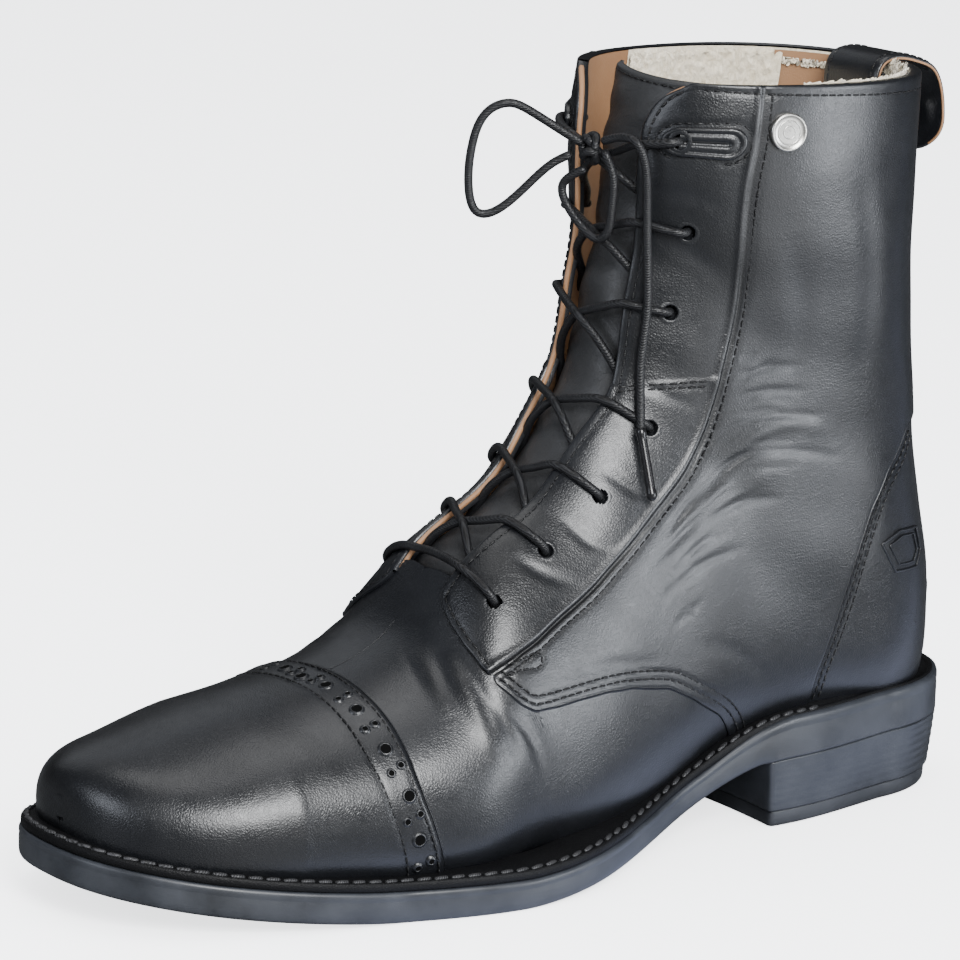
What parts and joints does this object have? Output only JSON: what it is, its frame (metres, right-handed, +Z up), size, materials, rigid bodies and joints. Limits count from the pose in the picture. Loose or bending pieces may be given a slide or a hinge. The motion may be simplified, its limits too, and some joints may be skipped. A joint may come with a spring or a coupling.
{
  "type": "paddock boot",
  "caption": "Ankle-high lace-up riding boot for the left foot, with toe cap, zip down the back, low stacked heel and welted sole.",
  "frame": {"origin": "middle of the heel's floor face, on the floor", "axes": "+X to the toe, +Y to the outer side of this left boot, +Z up"},
  "size_m": [0.288, 0.105, 0.2115],
  "materials": {
    "black_leather": "smooth, semi-gloss, lightly creased",
    "satin_leather": "soft satin",
    "sole_rubber": "satin slate grey",
    "heel_stack": "satin, fine layers",
    "lift_rubber": "matt",
    "welt_leather": "matt with pale stitches",
    "insole_felt": "cream pile",
    "zip_tape": "woven black tape with black teeth",
    "dark_metal": "dark nickel",
    "badge_metal": "bare silver disc",
    "stud_metal": "polished press stud",
    "lace": "waxed round cord",
    "lace_tip": "clear black tip"
  },
  "bodies": {
    "root": {"outsole": "sole_rubber", "heel": "heel_stack", "heel_lift": "lift_rubber", "welt": "welt_leather", "insole": "insole_felt", "upper": "black_leather", "toe_cap": "black_leather", "tongue": "satin_leather", "eyelet_patch_outer": "black_leather", "eyelet_patch_inner": "black_leather", "side_badge": "badge_metal", "spur_rest": "black_leather", "zip": "zip_tape", "zip_slider": "dark_metal", "back_tab": "black_leather", "tab_stud": "stud_metal", "lace_bar": "lace", "lace_knot": "lace", "lace_loop_front": "lace", "lace_loop_fall": "lace", "lace_end": "lace", "lace_aglet": "lace_tip", "lace_crossing_1": "lace", "lace_crossing_2": "lace", "lace_crossing_3": "lace", "lace_crossing_4": "lace", "lace_crossing_5": "lace", "lace_crossing_6": "lace"}
  },
  "joints": []
}
